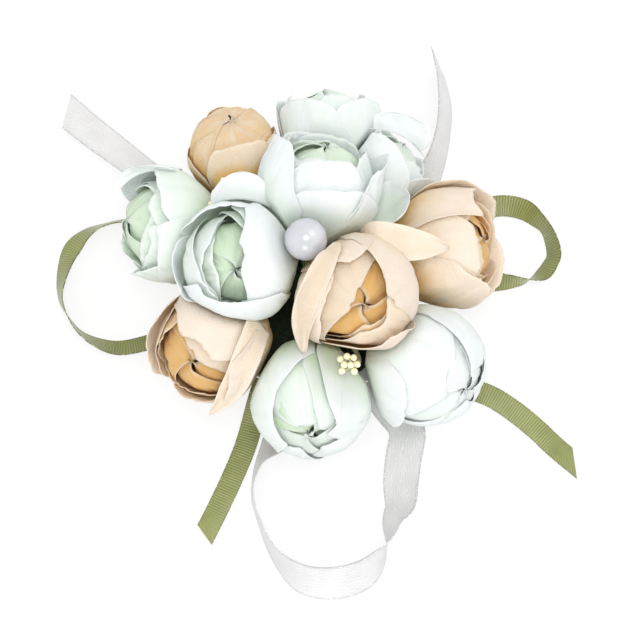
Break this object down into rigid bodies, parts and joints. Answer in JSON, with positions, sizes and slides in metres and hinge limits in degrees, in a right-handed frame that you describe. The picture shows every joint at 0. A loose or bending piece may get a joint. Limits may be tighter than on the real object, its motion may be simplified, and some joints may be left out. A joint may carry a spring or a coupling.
{
  "type": "wrist corsage",
  "caption": "Wrist corsage of mint and peach fabric bud heads round a pearl, on a felt pad with a green satin bow, ribbon tails and a white satin wrist loop.",
  "frame": {"origin": "middle of the pad's underside, the face that lies on the wrist or a table", "axes": "+Z out of the pad through the flowers, -Y towards the wrist loop, +X to the right with the wrist loop at the bottom"},
  "size_m": [0.1502, 0.1551, 0.0519],
  "materials": {
    "mint_petal": "thin woven polyester petal, white with a breath of mint",
    "mint_inside": "the same cloth, dyed pale green towards its base",
    "peach_petal": "thin woven polyester petal, pale peach with a pinkish edge",
    "peach_inside": "the same cloth, dyed warm orange towards its base",
    "calyx": "moulded soft polyethylene, dull green",
    "floral_tape": "waxed crepe paper tape, dark green",
    "felt": "pressed felt, very dark green",
    "green_satin": "satin ribbon with a fine rib, olive green",
    "white_satin": "satin ribbon, ivory white",
    "pearl": "pearlescent lacquer",
    "wire": "paper covered wire, pale green",
    "stamen": "hardened starch beads on thread, cream"
  },
  "bodies": {
    "pad": {"felt_top": "felt", "felt_underside": "felt", "green_ribbon_middle": "green_satin", "mint_back_calyx": "calyx", "mint_back_centre_bud": "mint_inside", "mint_back_inner_petals": "mint_inside", "mint_back_outer_petals": "mint_petal", "mint_back_right_calyx": "calyx", "mint_back_right_centre_bud": "mint_inside", "mint_back_right_inner_petals": "mint_inside", "mint_back_right_outer_petals": "mint_petal", "mint_crown_calyx": "calyx", "mint_crown_centre_bud": "mint_inside", "mint_crown_inner_petals": "mint_inside", "mint_crown_outer_petals": "mint_petal", "mint_front_left_calyx": "calyx", "mint_front_left_centre_bud": "mint_inside", "mint_front_left_inner_petals": "mint_inside", "mint_front_left_outer_petals": "mint_petal", "mint_left_calyx": "calyx", "mint_left_centre_bud": "mint_inside", "mint_left_inner_petals": "mint_inside", "mint_left_outer_petals": "mint_petal", "mint_low_front_calyx": "calyx", "mint_low_front_centre_bud": "mint_inside", "mint_low_front_inner_petals": "mint_inside", "mint_low_front_outer_petals": "mint_petal", "mint_low_right_calyx": "calyx", "mint_low_right_centre_bud": "mint_inside", "mint_low_right_inner_petals": "mint_inside", "mint_low_right_outer_petals": "mint_petal", "peach_back_left_calyx": "calyx", "peach_back_left_centre_bud": "peach_inside", "peach_back_left_inner_petals": "peach_inside", "peach_back_left_outer_petals": "peach_petal", "peach_front_calyx": "calyx", "peach_front_centre_bud": "peach_inside", "peach_front_inner_petals": "peach_inside", "peach_front_outer_petals": "peach_petal", "peach_low_left_calyx": "calyx", "peach_low_left_centre_bud": "peach_inside", "peach_low_left_inner_petals": "peach_inside", "peach_low_left_outer_petals": "peach_petal", "peach_right_calyx": "calyx", "peach_right_centre_bud": "peach_inside", "peach_right_inner_petals": "peach_inside", "peach_right_outer_petals": "peach_petal", "pearl": "pearl", "pearl_wire": "wire", "stamens_back_left": "stamen", "stamens_front": "stamen", "stem_bundle": "floral_tape", "white_ribbon_middle": "white_satin"},
    "wrist_loop": {"wrist_loop": "white_satin"},
    "white_tail_left": {"white_tail_left": "white_satin"},
    "white_tail_right": {"white_tail_right": "white_satin"},
    "green_loop_left": {"green_loop_left": "green_satin"},
    "green_loop_right": {"green_loop_right": "green_satin"},
    "green_tail_left": {"green_tail_left": "green_satin"},
    "green_tail_right": {"green_tail_right": "green_satin"}
  },
  "joints": [
    {"name": "wrist_loop_flex", "type": "hinge", "parent": "pad", "child": "wrist_loop", "pos_m": [0.00476, -0.02698, 0.00205], "axis": [0.9848, 0.1736, 0], "range_deg": [0, 80]},
    {"name": "white_tail_left_flex", "type": "hinge", "parent": "pad", "child": "white_tail_left", "pos_m": [-0.02099, 0.01761, 0.00205], "axis": [-0.6428, -0.766, 0], "range_deg": [0, 80]},
    {"name": "white_tail_right_flex", "type": "hinge", "parent": "pad", "child": "white_tail_right", "pos_m": [0.01761, 0.02099, 0.00205], "axis": [-0.766, 0.6428, 0], "range_deg": [0, 80]},
    {"name": "green_loop_left_flex", "type": "hinge", "parent": "pad", "child": "green_loop_left", "pos_m": [-0.0274, 0, 0.00285], "axis": [0, -1, 0], "range_deg": [0, 60]},
    {"name": "green_loop_right_flex", "type": "hinge", "parent": "pad", "child": "green_loop_right", "pos_m": [0.02659, 0.00663, 0.00285], "axis": [-0.2419, 0.9703, 0], "range_deg": [0, 60]},
    {"name": "green_tail_left_flex", "type": "hinge", "parent": "pad", "child": "green_tail_left", "pos_m": [-0.01026, -0.02541, 0.00285], "axis": [0.9272, -0.3746, 0], "range_deg": [0, 80]},
    {"name": "green_tail_right_flex", "type": "hinge", "parent": "pad", "child": "green_tail_right", "pos_m": [0.02324, -0.01452, 0.00285], "axis": [0.5299, 0.848, 0], "range_deg": [0, 80]}
  ]
}
